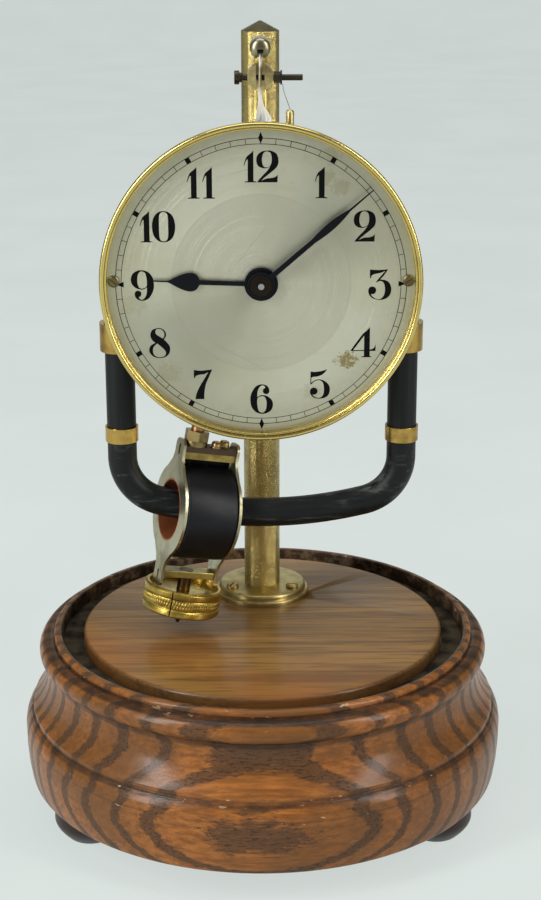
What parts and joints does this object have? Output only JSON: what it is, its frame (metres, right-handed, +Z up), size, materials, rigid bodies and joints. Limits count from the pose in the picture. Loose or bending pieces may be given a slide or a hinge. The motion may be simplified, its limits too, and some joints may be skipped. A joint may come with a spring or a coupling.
{
  "type": "electric pendulum clock",
  "caption": "Electric pendulum clock: turned wooden base, pillar, silvered dial, and a hollow coil swinging along a U-shaped bar magnet, hung from silk.",
  "frame": {"origin": "middle of the base on the table, under the feet", "axes": "+Z up, the dial faces -Y, +X to the right as seen from the front"},
  "size_m": [0.204, 0.204, 0.3265],
  "materials": {
    "base_wood": "French-polished mahogany, satin",
    "disc_wood": "duller polished mahogany",
    "felt": "black felt",
    "foot_wood": "ebonised, satin",
    "iron_screw": "bright iron",
    "cover_wood": "plain board",
    "cell_jacket": "dark jacket, matt",
    "spring_brass": "rolled",
    "pillar_brass": "polished, lightly tarnished",
    "stud_brass": "turned",
    "collar_brass": "turned, tarnished",
    "bezel_brass": "polished",
    "plate_brass": "grained",
    "wheel_brass": "turned",
    "nut_brass": "turned, bright",
    "bronze_screw": "browned",
    "dark_steel": "darkened",
    "spring_steel": "polished",
    "silk": "white silk",
    "magnet_black": "black lacquer, satin",
    "black_fibre": "pressed fibre",
    "brown_fibre": "pressed fibre",
    "red_fibre": "vulcanised fibre",
    "tinned_wire": "tinned",
    "dial_silver": "silvered, spun grain",
    "contact_silver": "silver",
    "copper_rod": "coppery, drawn",
    "cheek_nickel": "nickel plate, yellowed",
    "winding_black": "varnished silk-covered wire",
    "hand_black": "blued to black, gloss"
  },
  "bodies": {
    "frame": {"base_moulding": "base_wood", "base_disc": "disc_wood", "groove_felt": "felt", "bun_feet": "foot_wood", "base_screws": "iron_screw", "bottom_cover": "cover_wood", "battery_cell": "cell_jacket", "battery_clips": "spring_brass", "pillar_foot": "pillar_brass", "pillar_foot_screws": "bronze_screw", "pillar_tube": "pillar_brass", "pillar_cap": "pillar_brass", "upper_stud": "stud_brass", "split_stud": "stud_brass", "clamp_bolt": "dark_steel", "clamp_nut": "dark_steel", "silk_ribbon": "silk", "bracket_block": "pillar_brass", "cross_bar": "pillar_brass", "bracket_screws": "bronze_screw", "upper_collars": "collar_brass", "magnet_arms": "magnet_black", "magnet_bar": "magnet_black", "lower_collars": "collar_brass", "movement_posts": "plate_brass", "back_plate": "plate_brass", "front_plate": "plate_brass", "plate_pillars": "plate_brass", "plate_screws": "iron_screw", "worm_cocks": "plate_brass", "terminal_block": "black_fibre", "terminal_post": "stud_brass", "link_wire": "tinned_wire", "dial_plate": "dial_silver", "bezel": "bezel_brass", "dial_screws": "bronze_screw", "dial_pillars": "stud_brass", "detent_spring": "spring_steel"},
    "carrier": {"hanger": "stud_brass", "contact_pin": "contact_silver"},
    "bob": {"pendulum_rod": "copper_rod", "rod_nut": "nut_brass", "top_bar": "nut_brass", "terminal_plate": "brown_fibre", "terminal_screws": "nut_brass", "coil_cheeks": "cheek_nickel", "bore_liner": "red_fibre", "coil_winding": "winding_black", "bottom_bar": "nut_brass", "rating_rod": "copper_rod"},
    "rating_nut": {"rating_nut": "nut_brass"},
    "fork": {"fork_lever": "spring_steel"},
    "pawl": {"pawl": "contact_silver"},
    "worm": {"worm": "dark_steel", "ratchet_arbor": "dark_steel"},
    "worm_wheel": {"worm_wheel": "wheel_brass"},
    "centre": {"centre_arbor": "spring_steel", "minute_hand": "hand_black"},
    "hour": {"hour_hand": "hand_black"},
    "minute_wheel": {"minute_wheel": "wheel_brass"}
  },
  "joints": [
    {"name": "pendulum_swing", "type": "hinge", "parent": "frame", "child": "carrier", "pos_m": [0, -0.004, 0.303], "axis": [0, -1, 0], "range_deg": [0, 17.8], "deforming": ["silk_ribbon"]},
    {"name": "pendulum_twist", "type": "hinge", "parent": "carrier", "child": "bob", "pos_m": [-0.01501, -0.004, 0.20717], "axis": [0.1547, 0, 0.988], "range_deg": [-40, 0]},
    {"name": "rating_nut_turn", "type": "hinge", "parent": "bob", "child": "rating_nut", "pos_m": [-0.03399, -0.00784, 0.09294], "axis": [0.1824, 0.1033, 0.9778], "range_deg": [-180, 180]},
    {"name": "fork_rock", "type": "hinge", "parent": "frame", "child": "fork", "pos_m": [0, -0.0073, 0.252], "axis": [0, -1, 0], "range_deg": [-1, 50]},
    {"name": "pawl_level", "type": "hinge", "parent": "fork", "child": "pawl", "pos_m": [0.00065, -0.0063, 0.25346], "axis": [0, -1, 0], "range_deg": [-50, 1]},
    {"name": "worm_turn", "type": "hinge", "parent": "frame", "child": "worm", "pos_m": [-0.02033, -0.013, 0.231], "axis": [0, 0, 1], "continuous": true},
    {"name": "worm_wheel_turn", "type": "hinge", "parent": "frame", "child": "worm_wheel", "pos_m": [0, -0.013, 0.231], "axis": [0, -1, 0], "continuous": true},
    {"name": "hand_set", "type": "hinge", "parent": "frame", "child": "centre", "pos_m": [0, -0.013, 0.231], "axis": [0, 1, 0], "continuous": true},
    {"name": "hour_turn", "type": "hinge", "parent": "frame", "child": "hour", "pos_m": [0, -0.02, 0.231], "axis": [0, 1, 0], "continuous": true},
    {"name": "minute_wheel_turn", "type": "hinge", "parent": "frame", "child": "minute_wheel", "pos_m": [0.006, -0.019, 0.22061], "axis": [0, 1, 0], "continuous": true}
  ],
  "couplings": [
    {"joint": "fork_rock", "follows": "pendulum_swing", "ratio": 2.6763},
    {"joint": "pawl_level", "follows": "pendulum_swing", "ratio": -2.6763},
    {"joint": "worm_wheel_turn", "follows": "worm_turn", "ratio": 0.013889},
    {"joint": "hour_turn", "follows": "hand_set", "ratio": 0.083333},
    {"joint": "minute_wheel_turn", "follows": "hand_set", "ratio": -0.33333}
  ]
}
